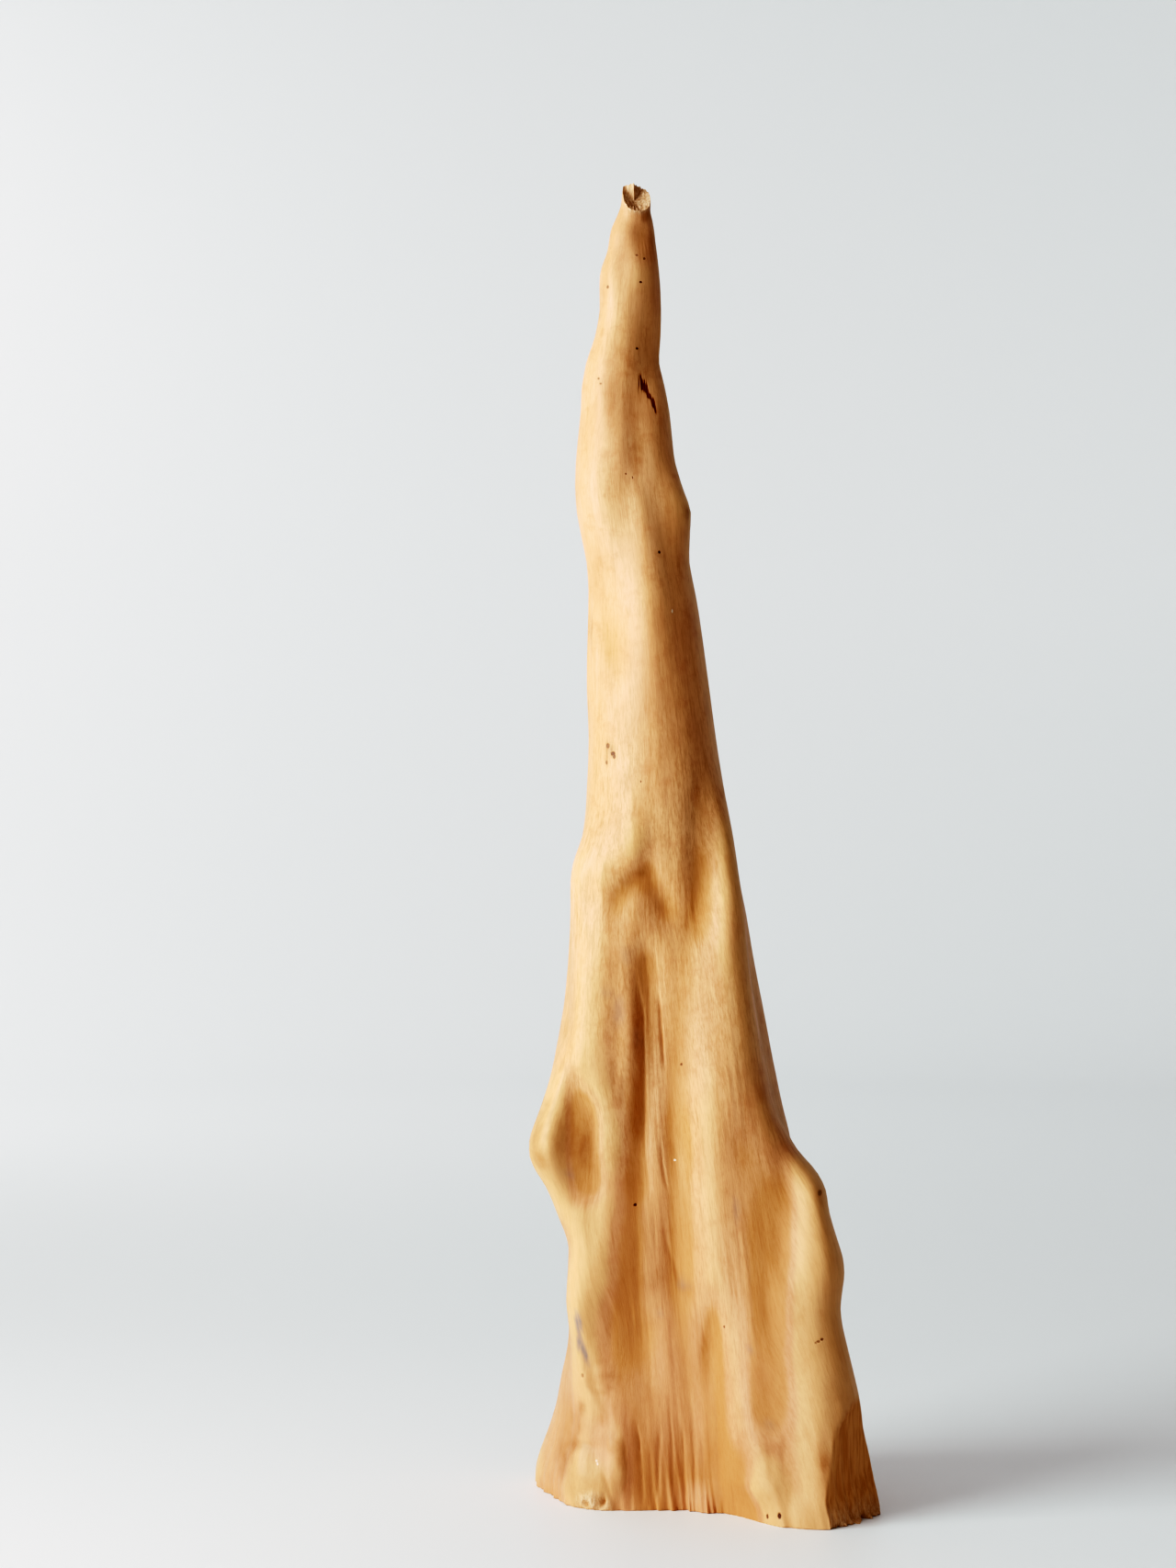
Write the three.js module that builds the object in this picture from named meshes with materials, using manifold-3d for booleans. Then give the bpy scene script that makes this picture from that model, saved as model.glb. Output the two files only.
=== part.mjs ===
// A peeled and polished root knee: one grown piece of pale wood, broken off at its tip
// and sawn flat under the spreading foot that it stands on.
// Millimetres, +Z up, the front looks along -Y, and the origin is under the middle of the foot.

import * as THREE from 'three';
import { mergeVertices } from 'three/addons/utils/BufferGeometryUtils.js';
import Module from 'manifold-3d';

// driving dimensions
const HEIGHT = 900;
const SAW_ALLOWANCE = 10;
const TIP_BREAK_DROP = 19;
const TIP_HIGH_SIDE = 1.9;
const TIP_SCOOP = 1.6;
const TIP_RAGS = [[5, 1, 0.05], [9, 0, 0.04]];
const STEM_BLEND = 7;

// mesh fineness: sections are close together in the foot and at the tip
const SECTION_POINTS = 64;
const TRACE_DIRECTIONS = 256;
const FAR_OUTSIDE = 200;
const TRACE_PRECISION = 0.01;
const NORMAL_REACH = 6;
const FRONT_FAVOUR = 0.3;
const FOOT_TOP = 440;
const NECK_HEIGHT = 830;
const FOOT_STEP = 11.5;
const TRUNK_STEP = 17;
const TIP_STEP = 6;
const WELD = 1e-4;
const GASH_FACETS = [10, 8];

// The stems that fused as the knee grew, from the top down: [height, x, y, radius].
const STEMS = {
  leader: [
    [910, -49, -10, 8], [873, -50, -10, 13], [836, -52, -10, 20], [790, -54, -10, 23],
    [740, -55, -10, 29], [690, -53, -10, 33], [620, -44, -10, 35], [550, -39, -10, 40],
    [480, -35, -10, 46], [400, -32, -6, 46], [300, -25, -2, 48], [200, -15, 4, 50],
    [100, -5, 12, 52], [-10, 5, 20, 50],
  ],
  leftShoulder: [
    [500, -54, -16, 10], [462, -59, -24, 19], [436, -63, -27, 24], [408, -64, -26, 20],
    [380, -64, -22, 10],
  ],
  leftFrontRib: [
    [430, -66, -24, 10], [390, -69, -32, 18], [320, -72, -36, 17], [275, -70, -40, 13],
    [246, -66, -41, 12], [216, -71, -37, 14], [190, -76, -32, 16], [158, -77, -26, 18],
    [127, -78, -18, 17], [86, -76, -15, 17], [50, -69, -14, 20], [-10, -66, -8, 29],
  ],
  leftFlank: [
    [490, -48, -6, 12], [440, -54, -6, 24], [380, -64, -6, 28], [320, -68, -4, 30],
    [250, -66, 0, 30],
    [160, -62, 4, 32], [110, -64, 10, 30], [60, -68, 16, 30], [-10, -71, 20, 30],
  ],
  leftKnob: [
    [314, -84, -14, 8], [278, -95, -22, 15], [248, -102, -27, 17], [218, -95, -24, 14],
    [176, -80, -14, 8],
  ],
  leftBackRib: [
    [560, -42, -4, 8], [480, -45, 6, 20], [400, -51, 15, 28], [320, -58, 20, 34],
    [200, -60, 26, 32],
    [120, -62, 32, 32], [60, -70, 42, 35], [-10, -80, 52, 38],
  ],
  centreRidge: [
    [570, -36, -12, 14], [500, -28, -17, 25], [440, -20, -20, 31], [400, -18, -22, 33],
    [320, -16, -24, 35], [240, -14, -24, 36], [160, -12, -14, 34], [80, -20, 0, 34],
    [-10, -24, 8, 36],
  ],
  troughFloor: [
    [270, -38, -8, 12], [220, -44, -14, 20], [160, -46, -15, 22], [80, -46, -11, 22],
    [-10, -46, -8, 24],
  ],
  middleRidge: [
    [350, -2, -18, 12], [300, 4, -24, 29], [240, 8, -26, 31], [160, 12, -26, 32],
    [80, 16, -18, 33], [-10, 18, -4, 35],
  ],
  shoulderRib: [
    [494, 0, -26, 6], [464, 6, -35, 11], [440, 8, -38, 12], [400, 11, -41, 12],
    [367, 13, -42, 13], [310, 19, -42, 15], [273, 25, -40, 16], [241, 38, -36, 18],
    [200, 32, -28, 26], [150, 32, -18, 32], [100, 34, -8, 36], [-10, 38, 0, 40],
  ],
  rightFlank: [
    [570, -30, -8, 14], [520, -26, -8, 28], [460, -20, -6, 36], [400, -10, -2, 34],
    [340, 0, 0, 36],
    [280, 12, 2, 38], [230, 20, 4, 38], [150, 26, 8, 38], [-10, 40, 10, 44],
  ],
  rightLobe: [
    [254, 34, -28, 5], [239, 43, -33, 12], [226, 52, -39, 19], [205, 58, -44, 20],
    [167, 64, -50, 21], [140, 64, -50, 20], [115, 66, -50, 23], [90, 68, -50, 27],
    [50, 68, -50, 34], [25, 70, -50, 38], [-10, 72, -48, 43],
  ],
  rightLobeBack: [
    [250, 32, -22, 6], [212, 49, -32, 17], [188, 57, -36, 21], [165, 63, -38, 24],
    [140, 60, -38, 23], [110, 62, -37, 25], [60, 70, -34, 31], [-10, 78, -30, 38],
  ],
  rightBackRib: [
    [500, -28, -2, 8], [440, -21, 8, 24], [380, -12, 15, 32], [300, -2, 20, 38],
    [200, 12, 26, 38],
    [100, 26, 34, 40], [-10, 44, 40, 46],
  ],
  backRib: [
    [620, -42, -8, 8], [530, -41, 2, 24], [430, -41, 13, 31], [300, -38, 26, 34],
    [200, -36, 36, 34],
    [100, -30, 46, 35], [-10, -22, 56, 38],
  ],
  backKnob: [
    [640, -30, 4, 10], [606, -28, 18, 15], [580, -28, 20, 15], [540, -30, 8, 10],
  ],
  rightBackKnob: [
    [330, 16, 34, 8], [296, 22, 46, 15], [270, 22, 46, 15], [228, 18, 34, 8],
  ],
  rightKnob: [
    [715, -37, -16, 5], [695, -30, -20, 12], [676, -25, -20, 15], [655, -27, -18, 14],
    [620, -34, -12, 6],
  ],
};

// Left and right edges of the whole knee, seen from the front: [height, x].
const LEFT_EDGE = [
  [910, -57], [890, -57], [880, -59.5], [870, -64], [858, -66], [850, -67.5], [842, -71],
  [832, -72.3], [815, -71.8], [798, -74.2], [782, -80], [765, -84], [740, -85.3], [715, -88],
  [690, -89], [672, -87.5], [655, -84], [632, -80], [560, -81], [520, -79.4], [480, -81.2],
  [458, -83], [440, -89.5], [425, -92.3], [395, -92], [350, -95.3], [310, -101],
  [290, -105.5], [268, -113], [252, -118.8], [243, -120], [233, -118], [216, -108],
  [198, -101], [180, -94.2], [158, -93.9], [138, -95.2], [119, -93.3], [100, -94.6],
  [79, -99.1], [58, -102.4], [36, -109.6], [14, -117.5], [0, -118.5], [-10, -118.5],
];
const RIGHT_EDGE = [
  [910, -40], [893, -40.2], [882, -38.2], [871, -35.4], [858, -33.6], [836, -31.4],
  [815, -30.2], [795, -30.6], [780, -31.8], [770, -31.1], [758, -27], [742, -24.3],
  [720, -22.1], [705, -20.5], [695, -18], [686, -13], [677, -10.2], [667, -9.8], [655, -11.3],
  [645, -11.7], [630, -9.2], [600, -4.5], [560, 1], [520, 6.5], [480, 13], [440, 20],
  [410, 25], [370, 31.5], [330, 39], [300, 44.6], [270, 51], [247, 57.6], [238, 62.8],
  [229, 73], [220, 78], [202, 81.5], [183, 87], [165, 91.9], [146, 90], [134, 89.3],
  [119, 92.4], [92, 98.8], [74, 102.7], [57, 104.2], [39, 108.4], [16, 112.5], [0, 115.8],
  [-10, 116.5],
];

// Hollows in the front of the skin: the run as [x, height], half the width and the depth.
const FRONT_HOLLOWS = [
  { run: [[-43, 870], [-44, 852]], width: 8, depth: 4 },
  { run: [[-49, 806], [-60, 769], [-70, 741]], width: 9, depth: 3.5 },
  { run: [[-66, 745], [-52, 748]], width: 7, depth: 2 },
  { run: [[-47, 732], [-47, 712], [-46, 700]], width: 7, depth: 4 },
  { run: [[-31, 678], [-29, 650]], width: 8, depth: 3 },
  { run: [[-6, 474], [-5, 442], [-2, 420], [-3, 398]], width: 8, depth: 6 },
  { run: [[-63, 410], [-48, 426], [-42, 431]], width: 6, depth: 5 },
  { run: [[-41, 430], [-32, 416], [-30, 404]], width: 7, depth: 9 },
  { run: [[-42, 368], [-42, 330], [-45, 278], [-47, 225]], width: 11, depth: 8.5 },
  { run: [[-44, 195], [-49, 160], [-53, 110]], width: 10, depth: 3 },
  { run: [[-81, 268], [-79, 248], [-78, 222]], width: 9, depth: 9 },
  { run: [[48, 222], [49, 167], [47, 130]], width: 8, depth: 5 },
];
// The same for the back, which the valleys between the back ribs fold.
const BACK_HOLLOWS = [
  { run: [[-66, 640], [-62, 560], [-60, 500]], width: 10, depth: 4 },
  { run: [[-72, 400], [-66, 300], [-64, 180], [-60, 60]], width: 10, depth: 8 },
  { run: [[-10, 380], [-10, 280], [-2, 180], [8, 50]], width: 10, depth: 8 },
  { run: [[22, 240], [30, 205]], width: 9, depth: 6 },
  { run: [[-40, 770], [-46, 730]], width: 8, depth: 3 },
];

// The dark gash where bark grew in: its middle, half its width, depth and length, its lean.
const GASH = { x: -39, y: -33, height: 754, halfSize: [1.9, 7, 10], lean: 0.4 };

// Two axe strokes met in the front right corner of the foot and the chip split off above the
// saw cut: a point and the way out of each face that this left.
const CHIP_FACES = [
  { point: [80.5, -83, 38], out: [0.82, -0.57, 0] },
  { point: [80.5, -83, 38], out: [0.82, -0.57, 0.2] },
  { point: [92, -78, 8], out: [0.25, -0.25, 1] },
];

// values between the stations of a table, by a smooth curve through them
function valuesAt(stations, height) {
  const last = stations.length - 1;
  let i = 0;
  while (i < last - 1 && stations[i + 1][0] > height) i += 1;
  const [above, below] = [stations[i], stations[i + 1]];
  const before = stations[Math.max(i - 1, 0)];
  const after = stations[Math.min(i + 2, last)];
  const span = below[0] - above[0];
  const t = THREE.MathUtils.clamp((height - above[0]) / span, 0, 1);
  const [t2, t3] = [t * t, t * t * t];
  return above.slice(1).map((value, k) => {
    const column = k + 1;
    const slopeAbove = (below[column] - before[column]) / (below[0] - before[0]);
    const slopeBelow = (after[column] - above[column]) / (after[0] - above[0]);
    return (2 * t3 - 3 * t2 + 1) * value + (t3 - 2 * t2 + t) * slopeAbove * span
      + (3 * t2 - 2 * t3) * below[column] + (t3 - t2) * slopeBelow * span;
  });
}

// heights of the sections, from the tip down to below the saw cut
function sectionHeights() {
  const heights = [];
  let height = HEIGHT;
  while (height > -SAW_ALLOWANCE) {
    heights.push(height);
    if (height > NECK_HEIGHT) height -= TIP_STEP;
    else if (height > FOOT_TOP) height -= TRUNK_STEP;
    else height -= FOOT_STEP;
  }
  heights.push(-SAW_ALLOWANCE);
  return heights;
}

// distance from the fused stems' skin in a section, less than nothing inside
function skinDistance(discs, x, y) {
  let sum = 0;
  for (const [cx, cy, radius] of discs) {
    sum += Math.exp((radius - Math.hypot(x - cx, y - cy)) / STEM_BLEND);
  }
  return -STEM_BLEND * Math.log(sum);
}

// outline of one section, traced from the leader and then stretched between the two edges
function section(height) {
  const discs = Object.values(STEMS)
    .filter((stem) => height <= stem[0][0] && height >= stem[stem.length - 1][0])
    .map((stem) => valuesAt(stem, height));
  const [cx, cy] = discs[0];
  const traced = [];
  for (let i = 0; i <= TRACE_DIRECTIONS; i += 1) {
    const angle = Math.PI + (2 * Math.PI * i) / TRACE_DIRECTIONS;
    const [dx, dy] = [Math.cos(angle), Math.sin(angle)];
    let [inside, outside] = [0, FAR_OUTSIDE];
    while (outside - inside > TRACE_PRECISION) {
      const radius = (inside + outside) / 2;
      if (skinDistance(discs, cx + dx * radius, cy + dy * radius) < 0) inside = radius;
      else outside = radius;
    }
    traced.push(new THREE.Vector3(cx + dx * inside, cy + dy * inside, height));
  }
  const xs = traced.map((point) => point.x);
  const [low, high] = [Math.min(...xs), Math.max(...xs)];
  const [left] = valuesAt(LEFT_EDGE, height);
  const [right] = valuesAt(RIGHT_EDGE, height);
  for (const point of traced) point.x = left + ((point.x - low) * (right - left)) / (high - low);
  return evenlySpaced(traced);
}

// spaces a section's points half by length along the skin and half by direction, and closer
// together on the front
function evenlySpaced(traced) {
  const lengths = [0];
  const turns = [0];
  for (let i = 1; i < traced.length; i += 1) {
    const favour = 1 + FRONT_FAVOUR * Math.sin((2 * Math.PI * i) / TRACE_DIRECTIONS);
    lengths.push(lengths[i - 1] + favour * traced[i].distanceTo(traced[i - 1]));
    turns.push(turns[i - 1] + favour);
  }
  const [whole, round] = [lengths[TRACE_DIRECTIONS], turns[TRACE_DIRECTIONS]];
  const shares = lengths.map((length, i) => 0.5 * (length / whole + turns[i] / round));
  const points = [];
  let i = 1;
  for (let k = 0; k < SECTION_POINTS; k += 1) {
    const share = k / SECTION_POINTS;
    while (shares[i] < share) i += 1;
    const t = (share - shares[i - 1]) / (shares[i] - shares[i - 1]);
    points.push(traced[i - 1].clone().lerp(traced[i], t));
  }
  return points;
}

// the point of the front or back skin at an x and a height
function skinPoint(rings, [x, height], facing) {
  const ring = rings.reduce((best, other) => (
    Math.abs(other[0].z - height) < Math.abs(best[0].z - height) ? other : best));
  const middle = new THREE.Box3().setFromPoints(ring).getCenter(new THREE.Vector3());
  const side = ring.filter((point) => (point.y - middle.y) * facing > 0);
  const nearest = side.reduce((best, other) => (
    Math.abs(other.x - x) < Math.abs(best.x - x) ? other : best));
  return new THREE.Vector3(x, nearest.y, height);
}

// a hollow's run, laid on the skin
function laidOnSkin(rings, hollow, facing) {
  const points = hollow.run.map((place) => skinPoint(rings, place, facing));
  return { ...hollow, lines: points.slice(1).map((point, i) => new THREE.Line3(points[i], point)) };
}

// presses every hollow into the rings, along a broad horizontal normal of the skin
function pressHollows(rings) {
  const hollows = [
    ...FRONT_HOLLOWS.map((hollow) => laidOnSkin(rings, hollow, -1)),
    ...BACK_HOLLOWS.map((hollow) => laidOnSkin(rings, hollow, 1)),
  ];
  const nearest = new THREE.Vector3();
  return rings.map((ring) => ring.map((point, k) => {
    const next = ring[(k + NORMAL_REACH) % ring.length];
    const before = ring[(k + ring.length - NORMAL_REACH) % ring.length];
    const outward = new THREE.Vector3(next.y - before.y, before.x - next.x, 0).normalize();
    let depth = 0;
    for (const hollow of hollows) {
      const distances = hollow.lines.map((line) => (
        line.closestPointToPoint(point, true, nearest).distanceTo(point)));
      depth += hollow.depth * Math.exp(-0.5 * (Math.min(...distances) / hollow.width) ** 2);
    }
    return point.clone().addScaledVector(outward, -depth);
  }));
}

// the tip broke off on a slant that faces the front and the right, with a ragged rim
function breakTip(rings) {
  const reach = 2 * TIP_BREAK_DROP;
  const middle = new THREE.Box3().setFromPoints(rings[0]).getCenter(new THREE.Vector3());
  for (const ring of rings) {
    for (const point of ring) {
      const share = THREE.MathUtils.clamp((point.z - HEIGHT + reach) / reach, 0, 1);
      const angle = Math.atan2(point.y - middle.y, point.x - middle.x);
      const slant = (0.5 - 0.5 * Math.cos(angle - TIP_HIGH_SIDE)) ** TIP_SCOOP;
      let ragged = 0;
      for (const [waves, start, size] of TIP_RAGS) ragged += size * Math.sin(waves * angle + start);
      point.z -= TIP_BREAK_DROP * (share * slant + share ** 4 * ragged);
    }
  }
  const rise = HEIGHT - Math.max(...rings[0].map((point) => point.z));
  for (const point of rings[0]) point.z += rise;
}

// a cylinder whose rings are moved out to the sections of the knee
function grownGeometry() {
  const rings = pressHollows(sectionHeights().map(section));
  breakTip(rings);
  const steps = rings.length - 1;
  const geometry = welded(new THREE.CylinderGeometry(1, 1, 1, SECTION_POINTS, steps));
  geometry.rotateX(Math.PI / 2);
  const positions = geometry.getAttribute('position');
  const place = new THREE.Vector3();
  for (let i = 0; i < positions.count; i += 1) {
    place.fromBufferAttribute(positions, i);
    const ring = rings[Math.round((0.5 - place.z) * steps)];
    if (Math.hypot(place.x, place.y) < WELD) {
      new THREE.Box3().setFromPoints(ring).getCenter(place);
    } else {
      const turn = (Math.atan2(place.y, place.x) + Math.PI) / (2 * Math.PI);
      place.copy(ring[Math.round(turn * SECTION_POINTS) % SECTION_POINTS]);
    }
    positions.setXYZ(i, place.x, place.y, place.z);
  }
  return geometry;
}

// positions and triangles alone, each corner once
function welded(geometry) {
  const bare = geometry.clone();
  bare.deleteAttribute('normal');
  bare.deleteAttribute('uv');
  return mergeVertices(bare, WELD);
}

const wasm = await Module();
wasm.setup();

function toSolid(geometry) {
  const bare = welded(geometry);
  return new wasm.Manifold(new wasm.Mesh({
    numProp: 3,
    vertProperties: new Float32Array(bare.getAttribute('position').array),
    triVerts: new Uint32Array(bare.index.array),
  }));
}

function toGeometry(solid) {
  const mesh = solid.getMesh();
  const geometry = new THREE.BufferGeometry();
  geometry.setAttribute('position', new THREE.BufferAttribute(mesh.vertProperties, 3));
  geometry.setIndex(new THREE.BufferAttribute(mesh.triVerts, 1));
  return geometry;
}

// everything below the foot's resting face, which the saw took off
function sawnOff() {
  const size = 400;
  return toSolid(new THREE.BoxGeometry(size, size, size).translate(0, 0, -size / 2));
}

// everything outside one face of the chip
function outsideOf({ point, out }) {
  const size = 200;
  const chip = new THREE.BoxGeometry(size, size, size).translate(size / 2, 0, 0);
  const direction = new THREE.Vector3(...out).normalize();
  const turn = new THREE.Quaternion().setFromUnitVectors(new THREE.Vector3(1, 0, 0), direction);
  return toSolid(chip.applyQuaternion(turn).translate(...point));
}

// the hollow of the gash, a thin leaning ellipsoid
function gashHollow() {
  const hollow = new THREE.SphereGeometry(1, ...GASH_FACETS).rotateX(Math.PI / 2);
  hollow.scale(...GASH.halfSize).rotateY(-GASH.lean);
  return toSolid(hollow.translate(GASH.x, GASH.y, GASH.height));
}

const polishedWood = new THREE.MeshStandardMaterial({
  color: 0xcf9a5c,
  roughness: 0.42,
  metalness: 0,
});

const knee = new THREE.Group();
const chip = CHIP_FACES.map(outsideOf).reduce((one, other) => one.intersect(other));
const wood = toSolid(grownGeometry()).subtract(sawnOff()).subtract(gashHollow()).subtract(chip);
const rootKnee = new THREE.Mesh(toGeometry(wood), polishedWood);
rootKnee.name = 'root_knee';
rootKnee.geometry.computeBoundingBox();
const middle = rootKnee.geometry.boundingBox.getCenter(new THREE.Vector3());
rootKnee.geometry.translate(-middle.x, -middle.y, 0);
rootKnee.geometry.computeVertexNormals();
knee.add(rootKnee);

export default knee;
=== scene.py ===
import math

import bpy
import numpy as np
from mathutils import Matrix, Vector
from mathutils.bvhtree import BVHTree


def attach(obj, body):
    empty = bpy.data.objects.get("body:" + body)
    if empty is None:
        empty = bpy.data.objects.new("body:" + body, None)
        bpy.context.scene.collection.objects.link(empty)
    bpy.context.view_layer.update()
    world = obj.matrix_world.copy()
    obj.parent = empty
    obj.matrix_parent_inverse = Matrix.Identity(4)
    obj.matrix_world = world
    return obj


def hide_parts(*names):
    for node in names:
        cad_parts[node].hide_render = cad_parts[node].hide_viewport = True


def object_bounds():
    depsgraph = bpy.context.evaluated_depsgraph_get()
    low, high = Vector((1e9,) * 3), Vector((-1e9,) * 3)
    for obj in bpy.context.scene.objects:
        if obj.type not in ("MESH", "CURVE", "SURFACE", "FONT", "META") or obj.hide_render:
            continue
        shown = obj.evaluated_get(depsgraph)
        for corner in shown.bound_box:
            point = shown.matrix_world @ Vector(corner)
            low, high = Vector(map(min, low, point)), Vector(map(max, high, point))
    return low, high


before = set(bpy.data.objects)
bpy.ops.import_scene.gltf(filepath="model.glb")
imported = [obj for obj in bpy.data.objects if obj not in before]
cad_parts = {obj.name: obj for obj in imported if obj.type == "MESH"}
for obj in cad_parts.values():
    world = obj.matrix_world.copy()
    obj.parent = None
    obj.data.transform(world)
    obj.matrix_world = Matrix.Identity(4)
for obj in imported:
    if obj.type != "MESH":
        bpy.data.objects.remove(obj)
solid_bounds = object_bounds()

# The camera looks level at the front of the knee from two metres off, at half its height and a
# little to its left. The upward shift frames it without leaning its upright lines.
bpy.ops.object.select_all(action="DESELECT")
bpy.ops.object.camera_add(location=(-0.078, -2.0113, 0.463), rotation=(math.pi / 2, 0, 0))
camera = bpy.context.object
camera.data.sensor_width = 36
camera.data.lens = 67.34
camera.data.shift_y = 0.0249
bpy.context.scene.camera = camera

# The knee is one grown piece of wood, peeled of its bark, sanded and polished. Its tip broke
# off, an axe took a chip from its front right corner, and a saw cut it flat under its foot.
HEIGHT = 0.9

# the mesh: its columns, its rings up the skin and its rings across the broken face
COLUMNS = 480
RINGS = 197
FACE_RINGS = 8

# the samples of the skin: their step up the knee and their directions at each height
SAMPLE_STEP = 0.002
DIRECTIONS = 720

# the pith, which the columns of the skin stand round: height, x, y
PITH = np.array([
    (0.0, 0.006, 0.018), (0.1, -0.003, 0.011), (0.2, -0.013, 0.003), (0.3, -0.023, -0.003),
    (0.4, -0.030, -0.007), (0.48, -0.033, -0.011), (0.55, -0.037, -0.011),
    (0.62, -0.042, -0.011), (0.69, -0.051, -0.011), (0.74, -0.053, -0.011),
    (0.79, -0.052, -0.011), (0.836, -0.050, -0.011), (0.873, -0.048, -0.011),
    (0.9, -0.047, -0.011),
])

# how close the rings of the skin stand: height, rings by height
RING_CLOSENESS = np.array([
    (0.0, 3.6), (0.02, 2.6), (0.06, 2.0), (0.1, 1.2), (0.4, 1.0), (0.5, 0.85), (0.73, 0.85),
    (0.745, 1.8), (0.765, 1.8), (0.78, 0.9), (0.84, 1.0), (0.86, 2.6), (0.9, 3.4),
])

# height of the broken rim by direction, in degrees from +X: high at the back, low in front
RIM = np.array([
    (-180, 0.8950), (-150, 0.8900), (-125, 0.8845), (-100, 0.8800), (-80, 0.8785),
    (-50, 0.8785), (-25, 0.8820), (0, 0.8895), (30, 0.8955), (60, 0.8985), (90, 0.9000),
    (120, 0.9000), (150, 0.8985), (180, 0.8950),
])
# how far below the top the skin begins to lean with the broken rim, how far the solid's own tip
# slants, and how far below that tip the last samples are taken
BREAK_REACH = 0.038
TIP_SLANT = 0.019
TIP_CLEAR = 0.010

# the faces of the missing chip: a point and the way out
CHIP_FACES = [
    ((0.08255, -0.0843, 0.038), (0.82, -0.57, 0.0)),
    ((0.08255, -0.0843, 0.038), (0.82, -0.57, 0.2)),
    ((0.09405, -0.0793, 0.008), (0.25, -0.25, 1.0)),
]

# how much further than the smoothed solid the left and right sides stand out: height and how
# far, in millimetres
LEFT_SIDE = [(215, 0), (240, 1.8), (275, 1), (310, 1), (340, 0)]
RIGHT_SIDE = [(140, 0), (172, 1.4), (203, 0.2), (218, 2.2), (290, 2.6), (345, 2.2), (400, 1.8),
              (430, 0.3), (540, 1), (610, 1), (640, 0), (860, 0.2), (878, 1.6), (900, 2)]

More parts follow.
